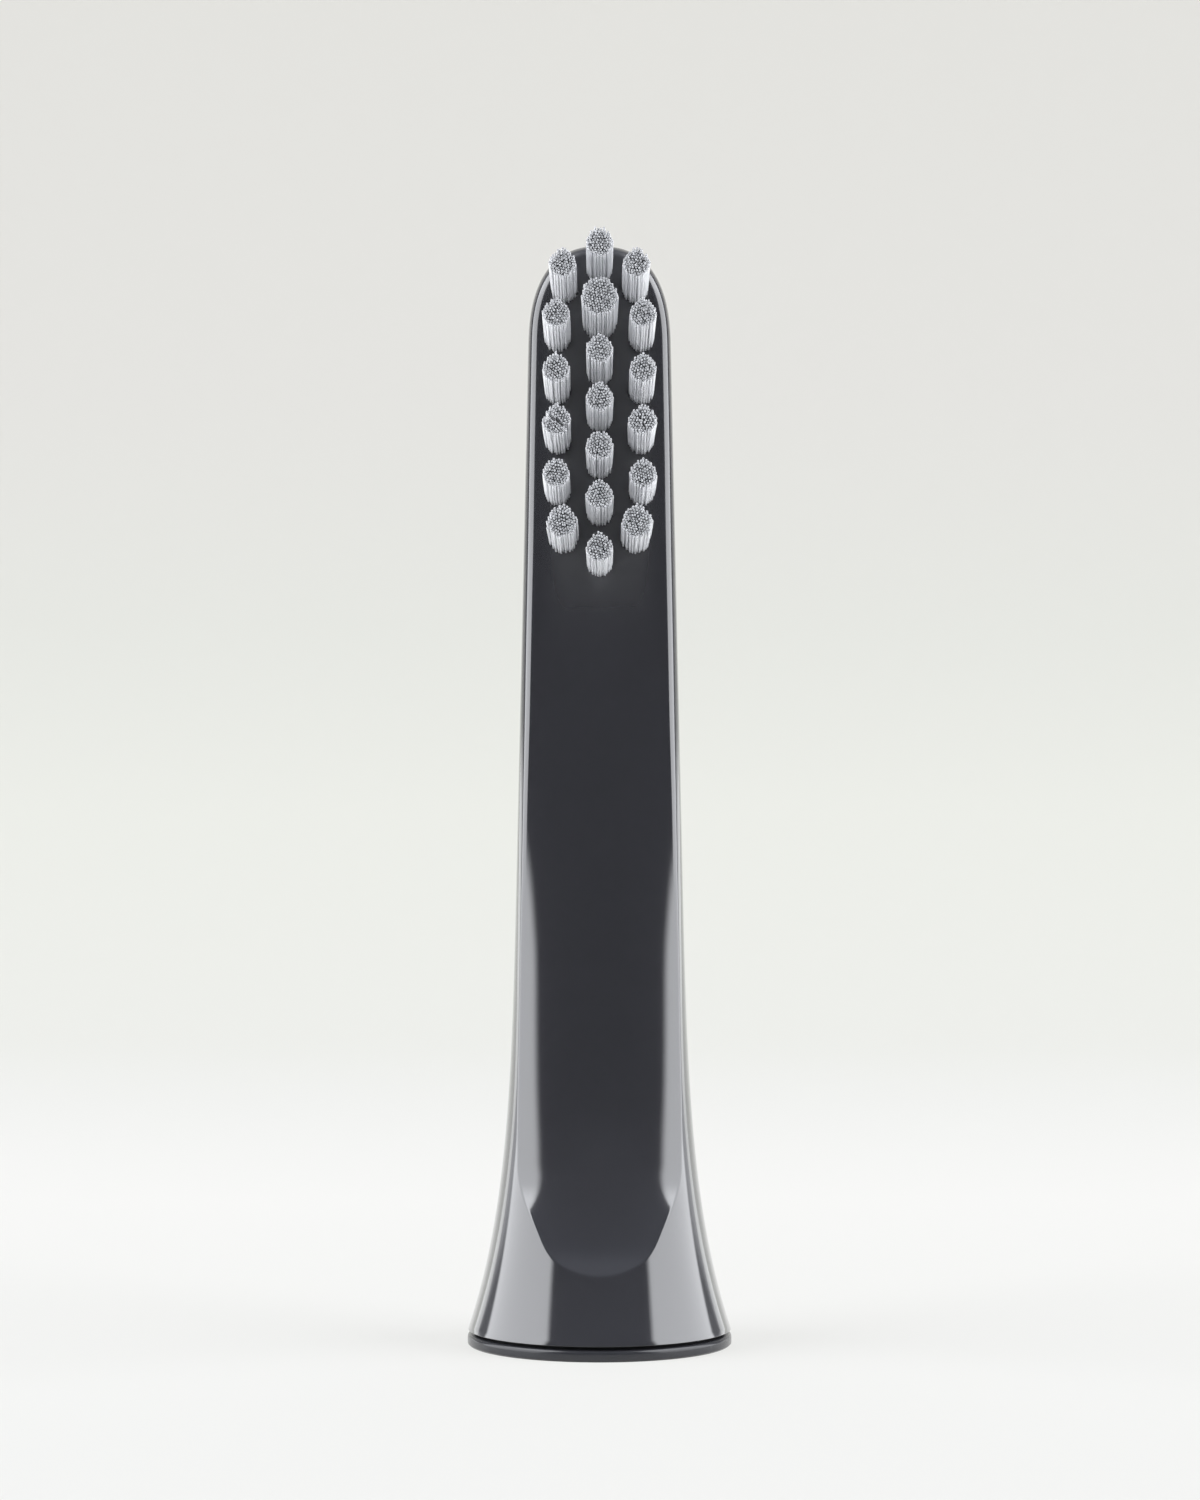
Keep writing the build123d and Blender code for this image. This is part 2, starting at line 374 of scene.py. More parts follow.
def make_ring():
    """The trim ring, turned from its profile, with a rounded upper edge."""
    turns = np.linspace(0, 2 * math.pi, RING_COLUMNS + 1)[:-1]
    profile = [(RING_BORE, 0.0), (BASE_RADIUS - RING_FOOT, 0.0), (BASE_RADIUS, RING_FOOT)]
    for step in range(RING_EDGE_ROWS + 1):
        turn = math.pi / 2 * step / RING_EDGE_ROWS
        inwards, upwards = 1 - math.cos(turn), math.sin(turn) - 1
        profile.append((BASE_RADIUS - RING_EDGE * inwards, RING_HEIGHT + RING_EDGE * upwards))
    profile += [
        (RING_LAND, RING_HEIGHT),
        (RING_LAND, SKIRT_BOTTOM - RING_LAND_GAP),
        (MOUTH_RADIUS - RING_SEAT_GAP, SKIRT_BOTTOM - RING_LAND_GAP),
        (MOUTH_RADIUS - RING_SEAT_GAP, RING_COLLAR_TOP - RING_SEAT_GAP),
        (RING_BORE, RING_COLLAR_TOP - RING_SEAT_GAP),
    ]
    return skin("trim_ring", [circle_row(radius, z, turns) for radius, z in profile])


# Finishes

# The haze on the head's face grows towards the middle, towards the front and upwards from its foot
HAZE_ACROSS = (5.2 * MM, 2.2 * MM)
HAZE_FORWARD = (0.0, -1.0 * MM)
HAZE_FOOT = 44 * MM
HAZE_RISE = 10 * MM
HAZE_ROUGHENS = 0.25
HAZE_DULLS = 0.6

# Painted shade in the dark groove between the ring's outer band and the skirt, which is also rougher there
GROOVE_FADE = 0.15 * MM
GROOVE_SHADE_COLOUR = (0.004, 0.004, 0.005, 1)
GROOVE_ROUGHENS = 0.6


class Signal:
    """A shader output that arithmetic can be written on."""

    def __init__(self, finish, socket):
        self.finish = finish
        self.socket = socket

    def __add__(self, other):
        return self.finish.math("ADD", self, other)

    __radd__ = __add__

    def __sub__(self, other):
        return self.finish.math("SUBTRACT", self, other)

    def __rsub__(self, other):
        return self.finish.math("SUBTRACT", other, self)

    def __mul__(self, other):
        return self.finish.math("MULTIPLY", self, other)

    __rmul__ = __mul__


class Finish:
    """The nodes of one procedural material, lamp or world."""

    def __init__(self, owner):
        owner.use_nodes = True
        self.owner = owner
        self.tree = owner.node_tree
        self.tree.nodes.clear()

    def add(self, kind, settings=None, sockets=None, output=0):
        """A node with its settings, then the values or links of its sockets."""
        node = self.tree.nodes.new(kind)
        for name, value in (settings or {}).items():
            if name == "stops":
                self.set_stops(node.color_ramp, value)
            else:
                setattr(node, name, value)
        for key, value in (sockets or {}).items():
            if isinstance(value, Signal):
                self.tree.links.new(value.socket, node.inputs[key])
            else:
                node.inputs[key].default_value = value
        return Signal(self, node.outputs[output])

    def set_stops(self, ramp, stops):
        for _ in range(len(stops) - len(ramp.elements)):
            ramp.elements.new(1.0)
        for element, (place, colour) in zip(ramp.elements, stops):
            element.position = place
            element.color = (*colour, 1)

    def math(self, operation, *values):
        return self.add("ShaderNodeMath", {"operation": operation}, dict(enumerate(values)))

    def place(self):
        return self.add("ShaderNodeTexCoord", output="Object")

    def parts(self, vector):
        """The three parts of a vector."""
        outputs = self.add("ShaderNodeSeparateXYZ", {}, {0: vector}).socket.node.outputs
        return [Signal(self, output) for output in outputs]

    def ramp(self, value, low, high, start=0.0, end=1.0):
        """Soft change from start to end while the value goes from low to high."""
        settings = {"interpolation_type": "SMOOTHSTEP"}
        sockets = {"Value": value, "From Min": low, "From Max": high, "To Min": start, "To Max": end}
        return self.add("ShaderNodeMapRange", settings, sockets)

    def noise(self, scale, detail=3.0, stretch=None):
        vector = self.place()
        if stretch:
            vector = self.add("ShaderNodeMapping", {}, {"Vector": vector, "Scale": stretch})
        return self.add("ShaderNodeTexNoise", {}, {"Vector": vector, "Scale": scale, "Detail": detail})

    def mix(self, share, first, second):
        settings = {"data_type": "RGBA"}
        return self.add("ShaderNodeMix", settings, {0: share, 6: first, 7: second}, output=2)

    def bump(self, height, strength, depth):
        sockets = {"Height": height, "Strength": strength, "Distance": depth}
        return self.add("ShaderNodeBump", {}, sockets)

    def surface(self, shader, kind="Material"):
        output = self.tree.nodes.new(f"ShaderNodeOutput{kind}")
        self.tree.links.new(shader.socket, output.inputs["Surface"])
        return self.owner

    def principled(self, sockets):
        return self.surface(self.add("ShaderNodeBsdfPrincipled", {}, sockets))


def face_haze(finish, above):
    """How hazy the gloss is: most in the middle of the head's face, round the tufts."""
    x, y, z = finish.parts(finish.place())
    middle = finish.ramp(finish.math("ABSOLUTE", x), *HAZE_ACROSS)
    front = finish.ramp(y, *HAZE_FORWARD)
    return finish.ramp(z, above, above + HAZE_RISE) * middle * front


def groove_shade(finish, radius):
    """Where the shade is painted: 1 on the ring's land, deep in the groove under the skirt, and 0 on its
    outer band.
    """
    x, y, _ = finish.parts(finish.place())
    return finish.ramp(finish.math("POWER", x * x + y * y, 0.5), radius, radius - GROOVE_FADE)


def gloss_moulding(name, dark, light, roughness, gloss=1.0, groove=None, hazy_above=None):
    """Polished dark moulding: slow changes of tone, a faint haze, the ripple of the mould and, where a
    groove is given, painted shade in it.
    """
    finish = Finish(bpy.data.materials.new(name))
    cloud = finish.noise(90, stretch=(1, 1, 0.4))
    haze = finish.noise(420)
    ripple = finish.noise(260, detail=1.0)
    colour = finish.mix(cloud, dark, light)
    rough = haze * 0.03 + roughness
    coat = gloss
    if hazy_above:
        hazy = face_haze(finish, hazy_above)
        rough = rough + hazy * HAZE_ROUGHENS
        coat = gloss - hazy * HAZE_DULLS
    if groove:
        # Painted shade: the groove under the skirt is made dark, rougher and without coat
        painted_groove_shade = groove_shade(finish, groove)
        colour = finish.mix(painted_groove_shade, colour, GROOVE_SHADE_COLOUR)
        rough = rough + painted_groove_shade * GROOVE_ROUGHENS
        coat = gloss - painted_groove_shade * gloss
    return finish.principled(
        {
            "Base Color": colour,
            "Roughness": rough,
            "Normal": finish.bump(ripple, 0.02, 0.0002),
            "IOR": 1.5,
            "Specular IOR Level": gloss,
            "Coat Weight": coat,
            "Coat Roughness": 0.04,
        }
    )


def filament_finish():
    """Pale nylon: each filament has its own tone, with painted shade that makes it a little deeper at its
    root and greyer at its tip.
    """
    finish = Finish(bpy.data.materials.new("silver_filament"))
    tone = finish.add("ShaderNodeAttribute", {"attribute_name": "tone"}, output="Fac")
    along = finish.add("ShaderNodeAttribute", {"attribute_name": "along"}, output="Fac")
    grain = finish.noise(1500, stretch=(1, 0.1, 1))
    base = finish.mix(tone, (0.83, 0.835, 0.85, 1), (0.94, 0.945, 0.955, 1))
    # Painted shade, darker towards the root, broken up by random grain
    shade = finish.mix(along * 0.7 + grain * 0.3, (0.8, 0.805, 0.82, 1), base)
    # Painted shade on the rounded tip, which turns greyer
    tip = finish.ramp(along, 0.98, 0.995)
    return finish.principled(
        {
            "Base Color": finish.mix(tip, shade, (0.58, 0.585, 0.6, 1)),
            "Roughness": grain * 0.1 + 0.3,
            "Specular IOR Level": 0.5,
        }
    )


def plain_moulding():
    """Natural unpainted plastic with a spark-eroded texture."""
    finish = Finish(bpy.data.materials.new("natural_moulding"))
    grain = finish.noise(2600)
    cloud = finish.noise(150)
    return finish.principled(
        {
            "Base Color": finish.mix(cloud, (0.52, 0.53, 0.54, 1), (0.62, 0.63, 0.64, 1)),
            "Roughness": grain * 0.15 + 0.4,
            "Normal": finish.bump(grain, 0.2, 0.00005),
        }
    )


def metal_strip(name, dark, light, stretch):
    """Rolled metal with fine drawn lines."""
    finish = Finish(bpy.data.materials.new(name))
    lines = finish.noise(1200, stretch=stretch)
    return finish.principled(
        {
            "Base Color": finish.mix(lines, dark, light),
            "Metallic": 1.0,
            "Roughness": lines * 0.2 + 0.2,
            "Normal": finish.bump(lines, 0.15, 0.00003),
        }
    )


# Filaments, with their sizes in millimetres

BRISTLE_LENGTH = 10.6
TUFT_TILT = math.radians(2.4)
STRAND_RADIUS = 0.073
STRAND_SIDES = 8
STRAND_ROWS = (0.25, 0.5, 0.75, 0.94)
TIP_TURNS = (0, 25, 50, 72)
ROOT_DEPTH = 0.5
SHORTEST = 0.98
GRID_POINTS = 19
ROW_SHARE = 0.866
STRAY_BEYOND = 0.95
LOBE_FALL = 1.6
FULL_BELLY = 4.0
MOST_TWIST = 0.35
TWIST_STEP = 5.1
STRAY_STEP = 2.4
FIRST_SEED = 3
LEAN_SEED = 3.0
TONE_SEED = 7.0
BOW_SEED = 13.0
BRISTLE_INPUTS = {
    "Radius": "Float",
    "Spacing": "Float",
    "Jitter": "Float",
    "Twist": "Rotation",
    "Splay": "Float",
    "Peak": "Float",
    "Lobe": "Float",
    "Scatter": "Float",
    "Bow": "Float",
    "Gap": "Float",
    "Gap Way": "Vector",
    "Stray": "Float",
    "Stray Way": "Vector",
    "Seed": "Int",
    "Root": "Vector",
    "Turn": "Rotation",
    "Finish": "Material",
}

# Tufts whose filaments part, with the lean to either side, and those with a filament that strays.
# Lobes are the two peaks that a tuft's tips rise to, as a share of its radius beside the middle
PARTED = {
    "tuft_left_4": (0.009, (0.52, 0.85, 0.0)),
    "tuft_centre_2": (0.001, (0.99, 0.12, 0.0)),
    "tuft_right_4": (0.004, (0.9, 0.43, 0.0)),
}
STRAYS = {"tuft_left_4": (0.035, 0.3)}
USUAL_STRAY = 0.006
LOBES = {"tuft_centre_1": 0.35, "tuft_centre_2": 0.45, "tuft_centre_5": 0.42, "tuft_left_5": 0.3}


def strand_mesh():
    """One filament in millimetres, standing on the face, with a rounded tip."""
    rings = [(-ROOT_DEPTH, 1.0)]
    rings += [(BRISTLE_LENGTH * share, 1.0) for share in STRAND_ROWS]
    for turn in TIP_TURNS:
        angle = math.radians(turn)
        rings.append((BRISTLE_LENGTH - STRAND_RADIUS * (1 - math.sin(angle)), math.cos(angle)))
    points, along = [], []
    for z, share in rings:
        radius = STRAND_RADIUS * share
        for k in range(STRAND_SIDES):
            turn = 2 * math.pi * k / STRAND_SIDES
            points.append((radius * math.cos(turn), radius * math.sin(turn), z))
            along.append(max(0.0, z) / BRISTLE_LENGTH)
    faces = []
    for row in range(len(rings) - 1):
        low, high = row * STRAND_SIDES, (row + 1) * STRAND_SIDES
        for k in range(STRAND_SIDES):
            after = (k + 1) % STRAND_SIDES
            faces.append((low + k, low + after, high + after, high + k))
    faces.append(tuple(range(STRAND_SIDES))[::-1])
    faces.append(tuple((len(rings) - 1) * STRAND_SIDES + k for k in range(STRAND_SIDES)))
    mesh = bpy.data.meshes.new("strand")
    mesh.from_pydata(points, [], faces)
    mesh.attributes.new("along", "FLOAT", "POINT").data.foreach_set("value", along)
    mesh.shade_smooth()
    return mesh


class Tree:
    """A Geometry Nodes tree with named inputs."""

    def __init__(self, name, sizes):
        self.tree = bpy.data.node_groups.new(name, "GeometryNodeTree")
        face = self.tree.interface
        face.new_socket("Geometry", in_out="INPUT", socket_type="NodeSocketGeometry")
        for label, kind in sizes.items():
            face.new_socket(label, in_out="INPUT", socket_type=f"NodeSocket{kind}")
        face.new_socket("Geometry", in_out="OUTPUT", socket_type="NodeSocketGeometry")
        self.inputs = self.tree.nodes.new("NodeGroupInput").outputs
        self.output = self.tree.nodes.new("NodeGroupOutput")

    def add(self, kind, settings=None, sockets=None, output=0):
        node = self.tree.nodes.new(kind)
        for name, value in (settings or {}).items():
            setattr(node, name, value)
        for key, value in (sockets or {}).items():
            if isinstance(value, bpy.types.NodeSocket):
                self.tree.links.new(value, node.inputs[key])
            else:
                node.inputs[key].default_value = value
        return node.outputs[output]

    def math(self, operation, *values):
        return self.add("ShaderNodeMath", {"operation": operation}, dict(enumerate(values)))

    def vector(self, operation, *values, scale=None, output=0):
        sockets = dict(enumerate(values))
        if scale is not None:
            sockets["Scale"] = scale
        return self.add("ShaderNodeVectorMath", {"operation": operation}, sockets, output)

    def keep(self, instances, kind, name, value):
        """Instances with a named value of their own."""
        settings = {"data_type": kind, "domain": "INSTANCE"}
        sockets = {"Geometry": instances, "Name": name, "Value": value}
        return self.add("GeometryNodeStoreNamedAttribute", settings, sockets)

    def named(self, kind, name):
        """A value that was kept under a name."""
        return self.add("GeometryNodeInputNamedAttribute", {"data_type": kind}, {"Name": name})


def random_pair(tree, amount, seed):
    """A random sideways vector for each filament."""
    high = tree.add("ShaderNodeCombineXYZ", {}, {"X": amount, "Y": amount})
    low = tree.vector("SCALE", high, scale=-1.0)
    sockets = {"Min": low, "Max": high, "Seed": seed}
    return tree.add("FunctionNodeRandomValue", {"data_type": "FLOAT_VECTOR"}, sockets)


def random_share(tree, low, high, seed):
    """A random number for each filament."""
    sockets = {2: low, 3: high, "Seed": seed}
    return tree.add("FunctionNodeRandomValue", {"data_type": "FLOAT"}, sockets, output=1)


def packed_spots(tree):
    """Rows of points set between each other, slightly out of place and turned as a whole."""
    sizes = tree.inputs
    spacing = sizes["Spacing"]
    row_step = tree.math("MULTIPLY", spacing, ROW_SHARE)
    grid_sizes = {
        "Size X": tree.math("MULTIPLY", spacing, float(GRID_POINTS - 1)),
        "Size Y": tree.math("MULTIPLY", row_step, float(GRID_POINTS - 1)),
        "Vertices X": GRID_POINTS,
        "Vertices Y": GRID_POINTS,
    }
    grid = tree.add("GeometryNodeMeshGrid", {}, grid_sizes)
    place = tree.add("GeometryNodeInputPosition")
    height = tree.add("ShaderNodeSeparateXYZ", {}, {0: place}, output=1)
    row = tree.math("ROUND", tree.math("DIVIDE", height, row_step))
    odd = tree.math("FLOORED_MODULO", row, 2.0)
    half_step = tree.math("MULTIPLY", odd, tree.math("MULTIPLY", spacing, 0.5))
    shift = tree.add("ShaderNodeCombineXYZ", {}, {"X": half_step})
    offset = tree.vector("ADD", shift, random_pair(tree, sizes["Jitter"], sizes["Seed"]))
    set_off = tree.add("GeometryNodeSetPosition", {}, {"Geometry": grid, "Offset": offset})
    return tree.add("GeometryNodeTransform", {}, {"Geometry": set_off, "Rotation": sizes["Twist"]})


def strand_way(tree, spot):
    """Which way a filament points: splayed, scattered, parted at the gap, strayed and peaked upwards."""
    sizes = tree.inputs
    radius = sizes["Radius"]
    side = tree.math("SIGN", tree.vector("DOT_PRODUCT", spot, sizes["Gap Way"], output="Value"))
    parted = tree.vector("SCALE", sizes["Gap Way"], scale=tree.math("MULTIPLY", side, sizes["Gap"]))
    outermost = tree.vector("DOT_PRODUCT", spot, sizes["Stray Way"], output="Value")
    is_stray = tree.math("GREATER_THAN", outermost, tree.math("MULTIPLY", radius, STRAY_BEYOND))
    strayed = tree.vector("SCALE", sizes["Stray Way"], scale=tree.math("MULTIPLY", is_stray, sizes["Stray"]))
    parts = tree.add("ShaderNodeSeparateXYZ", {}, {0: tree.vector("DIVIDE", spot, radius)})
    upward = tree.math("MAXIMUM", parts.node.outputs["Y"], 0.0)
    from_lobe = tree.math("SUBTRACT", tree.math("ABSOLUTE", parts.node.outputs["X"]), sizes["Lobe"])
    fall = tree.math("MULTIPLY", tree.math("ABSOLUTE", from_lobe), LOBE_FALL)
    inward = tree.math("SUBTRACT", 1.0, fall)
    peak = tree.math("MULTIPLY", tree.math("MULTIPLY", upward, inward), sizes["Peak"])
    lean = tree.vector("SCALE", spot, scale=sizes["Splay"])
    leans = [
        random_pair(tree, sizes["Scatter"], tree.math("ADD", sizes["Seed"], LEAN_SEED)),
        parted,
        strayed,
        tree.add("ShaderNodeCombineXYZ", {}, {"Y": peak, "Z": 1.0}),
    ]
    for more in leans:
        lean = tree.vector("ADD", lean, more)
    return tree.add("FunctionNodeAlignRotationToVector", {"axis": "Z"}, {"Vector": lean})


def bowed(tree, strands):
    """The filaments as one mesh, each bent sideways between its root and its tip."""
    bow = random_pair(tree, tree.inputs["Bow"], tree.math("ADD", tree.inputs["Seed"], BOW_SEED))
    kept = tree.keep(strands, "FLOAT_VECTOR", "bow", bow)
    solid = tree.add("GeometryNodeRealizeInstances", {}, {"Geometry": kept})
    along = tree.named("FLOAT", "along")
    belly = tree.math("MULTIPLY", along, tree.math("SUBTRACT", 1.0, along))
    share = tree.math("MULTIPLY", belly, FULL_BELLY)
    shift = tree.vector("SCALE", tree.named("FLOAT_VECTOR", "bow"), scale=share)
    bent = tree.add("GeometryNodeSetPosition", {}, {"Geometry": solid, "Offset": shift})
    return tree.add("GeometryNodeRemoveAttribute", {}, {"Geometry": bent, "Name": "bow"})


def bristle_tree():
    """Filaments packed in a round hole, each with its own lean, bow, length and tone."""
    tree = Tree("bristle_tuft", BRISTLE_INPUTS)
    sizes = tree.inputs
    spot = tree.add("GeometryNodeInputPosition")
    length = random_share(tree, SHORTEST, 1.0, sizes["Seed"])
    placing = {
        "Points": packed_spots(tree),
        "Selection": tree.math("LESS_THAN", tree.vector("LENGTH", spot, output="Value"), sizes["Radius"]),
        "Instance": sizes["Geometry"],
        "Rotation": strand_way(tree, spot),
        "Scale": tree.add("ShaderNodeCombineXYZ", {}, {"X": 1.0, "Y": 1.0, "Z": length}),
    }
    strands = tree.add("GeometryNodeInstanceOnPoints", {}, placing)
    tone = random_share(tree, 0.0, 1.0, tree.math("ADD", sizes["Seed"], TONE_SEED))
    placing = {
        "Geometry": bowed(tree, tree.keep(strands, "FLOAT", "tone", tone)),
        "Translation": sizes["Root"],
        "Rotation": sizes["Turn"],
        "Scale": (MM, MM, MM),
    }
    placed = tree.add("GeometryNodeTransform", {}, placing)
    painted = tree.add("GeometryNodeSetMaterial", {}, {"Geometry": placed, "Material": sizes["Finish"]})
    tree.tree.links.new(painted, tree.output.inputs[0])
    return tree.tree


def bake_strands(name, strand, tree, values):
    """The tree's result on one filament, as a plain mesh object."""
    maker = bpy.data.objects.new(name + "_maker", strand)
    bpy.context.scene.collection.objects.link(maker)
    modifier = maker.modifiers.new("bristles", "NODES")
    modifier.node_group = tree
    for item in tree.interface.items_tree:
        if item.in_out == "INPUT" and item.name in values:
            modifier[item.identifier] = values[item.name]
    depsgraph = bpy.context.evaluated_depsgraph_get()
    mesh = bpy.data.meshes.new_from_object(maker.evaluated_get(depsgraph))
    mesh.name = name
    bpy.data.objects.remove(maker)
    made = bpy.data.objects.new(name, mesh)
    bpy.context.scene.collection.objects.link(made)
    return made


def tuft_values(number, name, finish):
    """The tree's inputs for one tuft, whose place and radius come from its CAD node."""
    low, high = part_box(name)
    radius = (high.x - low.x) / 2
    tip_y = low.y + radius * math.sin(TUFT_TILT)
    tip_z = high.z - radius * math.cos(TUFT_TILT)
    tip = Vector(((low.x + high.x) / 2, tip_y, tip_z))
    outward = Vector((0, -math.cos(TUFT_TILT), math.sin(TUFT_TILT)))
    gap, gap_way = PARTED.get(name, (0.0, (1.0, 0.0, 0.0)))
    stray, stray_turn = STRAYS.get(name, (USUAL_STRAY, STRAY_STEP * number))
    return {
        "Radius": radius / MM - STRAND_RADIUS,
        "Spacing": 0.178,
        "Jitter": 0.014,
        "Twist": (0.0, 0.0, MOST_TWIST * math.sin(TWIST_STEP * number)),
        "Splay": 0.003,
        "Peak": 0.02,
        "Lobe": LOBES.get(name, 0.0),
        "Scatter": 0.0022,
        "Bow": 0.03,
        "Gap": gap,
        "Gap Way": gap_way,
        "Stray": stray,
        "Stray Way": (math.cos(stray_turn), math.sin(stray_turn), 0.0),
        "Seed": number + FIRST_SEED,
        "Root": tip - outward * BRISTLE_LENGTH * MM,
        "Turn": (math.pi / 2 - TUFT_TILT, 0.0, 0.0),
        "Finish": finish,
    }


def settle(piece, slot, material, *replaced):
    """A finished piece rides with the object, takes the finish it is given, if any, and hides the CAD nodes
    it stands for; its slot is not used.
    """
    if material:
        piece.data.materials.append(material)
    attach(piece, "root")
    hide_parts(*replaced)


# Floor, backdrop and light, in metres

# Painted light: the colours the paper glows with, by the way along it: the distance behind the object and
# then the height
PAPER_START = -0.1
PAPER_END = 0.7
PAINTED_PAPER_LIGHT = [
    (-0.1, (0.84, 0.842, 0.822)),
    (0.02, (0.856, 0.856, 0.832)),
    (0.09, (0.888, 0.884, 0.862)),
    (0.2, (0.842, 0.844, 0.816)),
    (0.42, (0.782, 0.792, 0.73)),
    (0.475, (0.717, 0.725, 0.67)),
    (0.53, (0.695, 0.685, 0.645)),
    (0.6, (0.676, 0.666, 0.622)),
]
PAPER_COLOUR = (0.8, 0.8, 0.79, 1)
PAPER_SEEN = 0.8

# Painted shade: the paper's glow is dimmer far to the sides, above the floor
SIDE_FADE = (0.13, 0.28)
LIFT_FADE = (0.015, 0.04)
SIDE_DIMMING = 0.5

LAMP_DISTANCE = 0.45
LAMP_COLOUR = (0.955, 0.97, 1.0, 1)

# Degrees of azimuth that a lamp's edges lean by for each metre of height
EDGE_LEAN = 20.0

# Each shade of a lamp is a soft change over a span, as (low, high, from, to), of azimuths or of heights
SOFTBOX_GLOW = [(60, 115, 3.05, 2.9), (118, 122, 1, 0)]
UPPER_GLOW = [(0.22, 0.34, 1, 1.5)]
GAP_GLOW = [(117, 121, 0, 1), (128, 136, 1, 0)]
GAP_FADE = [(0.012, 0.05, 1, 0.2)]
REAR_GLOW = [(128, 136, 0, 1), (136, 158, 1, 0.95)]
REAR_FADE = [(0.04, 0.06, 1, 0)]
SKY_SHADES = [
    (0.0, (0.075, 0.075, 0.078)),
    (0.2, (0.095, 0.095, 0.1)),
    (0.32, (0.16, 0.163, 0.178)),
    (0.65, (0.21, 0.22, 0.25)),
    (0.9, (0.31, 0.325, 0.37)),
]


def sweep_finish(name, shades):
    """Pale paper that shows a glow of painted light to the camera and in reflections, and keeps some shadow.
    """
    finish = Finish(bpy.data.materials.new(name))
    rays = finish.add("ShaderNodeLightPath").socket.node.outputs
    camera_ray, glossy_ray, clear_ray = (
        Signal(finish, rays[f"Is {kind} Ray"]) for kind in ("Camera", "Glossy", "Transmission")
    )
    seen = finish.math("MAXIMUM", finish.math("MAXIMUM", camera_ray, glossy_ray), clear_ray)
    across, behind, height = finish.parts(finish.place())
    length = PAPER_END - PAPER_START
    # Painted light: the glow's colour changes along the paper, and it is dimmer far to the sides above the
    # floor
    share = (behind + height - PAPER_START) * (1 / length)
    aside = finish.ramp(finish.math("ABSOLUTE", across), *SIDE_FADE)
    strength = 1 - aside * finish.ramp(height, *LIFT_FADE) * SIDE_DIMMING
    stops = [((place - PAPER_START) / length, colour) for place, colour in shades]
    tone = finish.add("ShaderNodeValToRGB", {"stops": stops}, {"Fac": share})
    glow = finish.add("ShaderNodeEmission", {}, {"Color": tone, "Strength": strength})
    paper = finish.add("ShaderNodeBsdfDiffuse", {}, {"Color": PAPER_COLOUR})
    return finish.surface(finish.add("ShaderNodeMixShader", {}, {0: seen * PAPER_SEEN, 1: paper, 2: glow}))


def make_sweep():
    """Floor that curves up into the backdrop."""
    back, bend, top, half, front = 0.42, 0.12, 0.9, 0.42, -0.6
    bend_steps = 12
    line = [(front, 0.0), (back - bend, 0.0)]
    for step in range(1, bend_steps + 1):
        turn = math.pi / 2 * step / bend_steps
        line.append((back - bend + bend * math.sin(turn), bend - bend * math.cos(turn)))
    line.append((back, top))
    points = [(x, y, z) for y, z in line for x in (-half, half)]
    faces = [(2 * k, 2 * k + 1, 2 * k + 3, 2 * k + 2) for k in range(len(line) - 1)]
    mesh = bpy.data.meshes.new("paper_sweep")
    mesh.from_pydata(points, [], faces)
    mesh.shade_smooth()
    made = bpy.data.objects.new("paper_sweep", mesh)
    bpy.context.scene.collection.objects.link(made)
    return made


def add_softbox(name, side, first, last, height, by_azimuth, by_height):
    """An upright area lamp beside the object, from one azimuth to another, with shaded light.

    Azimuth 0 is the camera's side, and it goes round to the side that is given as 1 for +X or -1."""
    turn = math.radians((first + last) / 2)
    width = 2 * LAMP_DISTANCE * math.tan(math.radians((last - first) / 2))
    lamp = bpy.data.lights.new(name, "AREA")
    lamp.shape = "RECTANGLE"
    lamp.size = width
    lamp.size_y = height
    lamp.energy = math.pi * width * height
    box = bpy.data.objects.new(name, lamp)
    box.location = (side * LAMP_DISTANCE * math.sin(turn), -LAMP_DISTANCE * math.cos(turn), height / 2)
    box.rotation_euler = (math.pi / 2, 0, side * turn)
    bpy.context.scene.collection.objects.link(box)
    finish = Finish(lamp)
    x, y, z = finish.parts(finish.add("ShaderNodeNewGeometry", output="Position"))
    azimuth = finish.math("DEGREES", finish.math("ARCTAN2", x * side, y * -1.0)) + z * EDGE_LEAN
    strength = 1.0
    for value, spans in ((azimuth, by_azimuth), (z, by_height)):
        for low, high, start, end in spans:
            strength = finish.ramp(value, low, high, start, end) * strength
    glow = {"Color": LAMP_COLOUR, "Strength": strength}
    finish.surface(finish.add("ShaderNodeEmission", {}, glow), "Light")


def make_sky():
    """A dim room that is lighter overhead."""
    world = bpy.data.worlds.new("studio")
    sky = Finish(world)
    upward = sky.parts(sky.add("ShaderNodeTexCoord", output="Generated"))[2]
    tone = sky.add("ShaderNodeValToRGB", {"stops": SKY_SHADES}, {"Fac": upward})
    return sky.surface(sky.add("ShaderNodeBackground", {}, {"Color": tone}), "World")


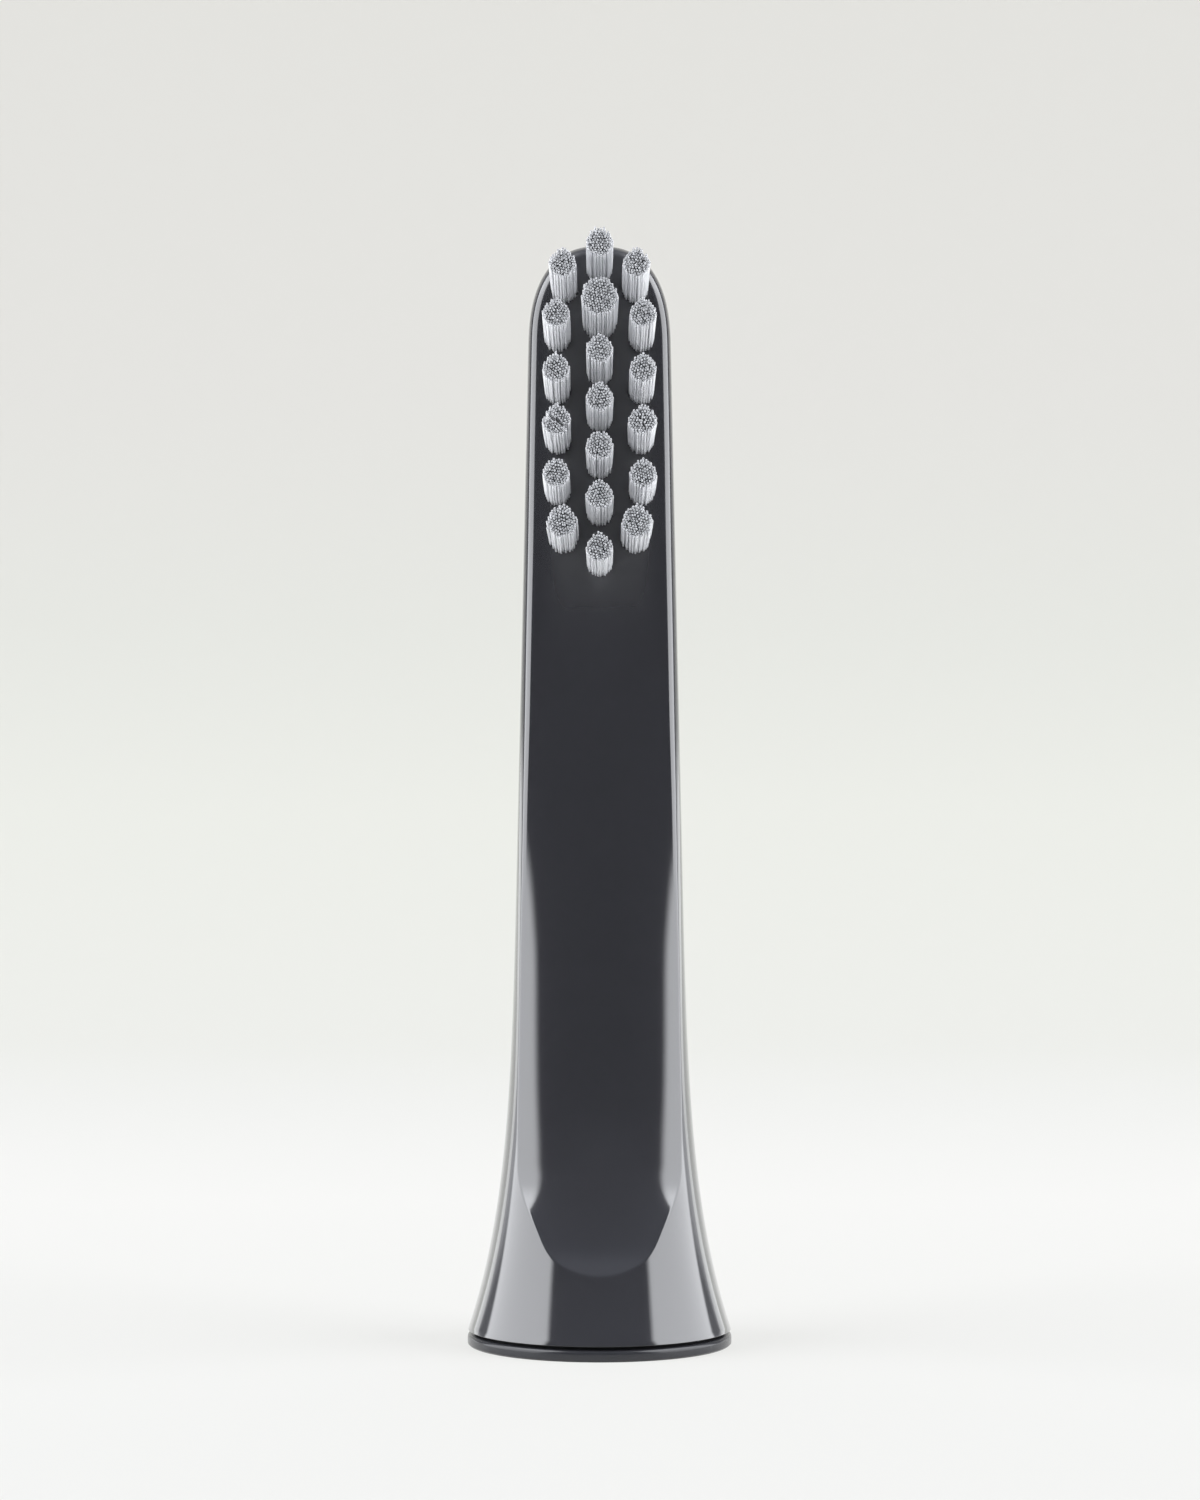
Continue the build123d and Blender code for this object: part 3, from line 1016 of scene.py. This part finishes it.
def make_camera():
    """A long lens level with the middle of the object, looking slightly up."""
    lens = bpy.data.cameras.new("studio_camera")
    lens.sensor_fit = "VERTICAL"
    lens.sensor_height = 36
    lens.lens = 90
    lens.clip_start = 0.01
    camera = bpy.data.objects.new("studio_camera", lens)
    camera.location = (0.00003, -0.25667, 0.03728)
    camera.rotation_euler = (math.radians(90.72), 0, 0)
    bpy.context.scene.collection.objects.link(camera)
    return camera


# The object

shell_finish = gloss_moulding(
    "anthracite_gloss",
    dark=(0.0222, 0.0226, 0.0268, 1),
    light=(0.0264, 0.0268, 0.0314, 1),
    roughness=0.09,
    hazy_above=HAZE_FOOT,
)
ring_finish = gloss_moulding(
    "ring_gloss",
    dark=(0.027, 0.0275, 0.032, 1),
    light=(0.032, 0.033, 0.038, 1),
    roughness=0.24,
    gloss=0.35,
    groove=RING_GROOVE * MM,
)
nylon = filament_finish()

settle(make_body(), "shell", shell_finish, "body_shell")
settle(make_ring(), "ring", ring_finish, "base_ring")

strand = strand_mesh()
tree = bristle_tree()
tuft_names = sorted(name for name in nodes if name.startswith("tuft_") and name != "tuft_anchors")
for number, name in enumerate(tuft_names):
    values = tuft_values(number, name, nylon)
    settle(bake_strands(name.replace("tuft", "bristles"), strand, tree, values), "filament", None, name)

kept_finishes = {
    "drive_insert": plain_moulding(),
    "shaft_spring": metal_strip("spring_steel", (0.5, 0.5, 0.51, 1), (0.68, 0.68, 0.69, 1), (1, 1, 0.1)),
    "tuft_anchors": metal_strip("anchor_brass", (0.62, 0.47, 0.24, 1), (0.8, 0.64, 0.36, 1), (0.1, 1, 1)),
}
for name, material in kept_finishes.items():
    for slot in nodes[name].material_slots:
        slot.material = material

# The studio

sweep = make_sweep()
sweep.data.materials.append(sweep_finish("pale_paper", PAINTED_PAPER_LIGHT))

add_softbox("softbox_right", 1, 48, 122, 1.0, [(51.5, 57.5, 0, 1)] + SOFTBOX_GLOW, UPPER_GLOW)
add_softbox("softbox_left", -1, 46, 122, 1.0, [(50, 56, 0, 1)] + SOFTBOX_GLOW, UPPER_GLOW)
for side, name in ((1, "right"), (-1, "left")):
    add_softbox("gap_light_" + name, side, 116, 138, 0.1, GAP_GLOW, GAP_FADE)
    add_softbox("rear_light_" + name, side, 126, 164, 0.065, REAR_GLOW, REAR_FADE)

bpy.context.scene.world = make_sky()
bpy.context.scene.camera = make_camera()
bpy.context.scene.view_settings.view_transform = "Standard"
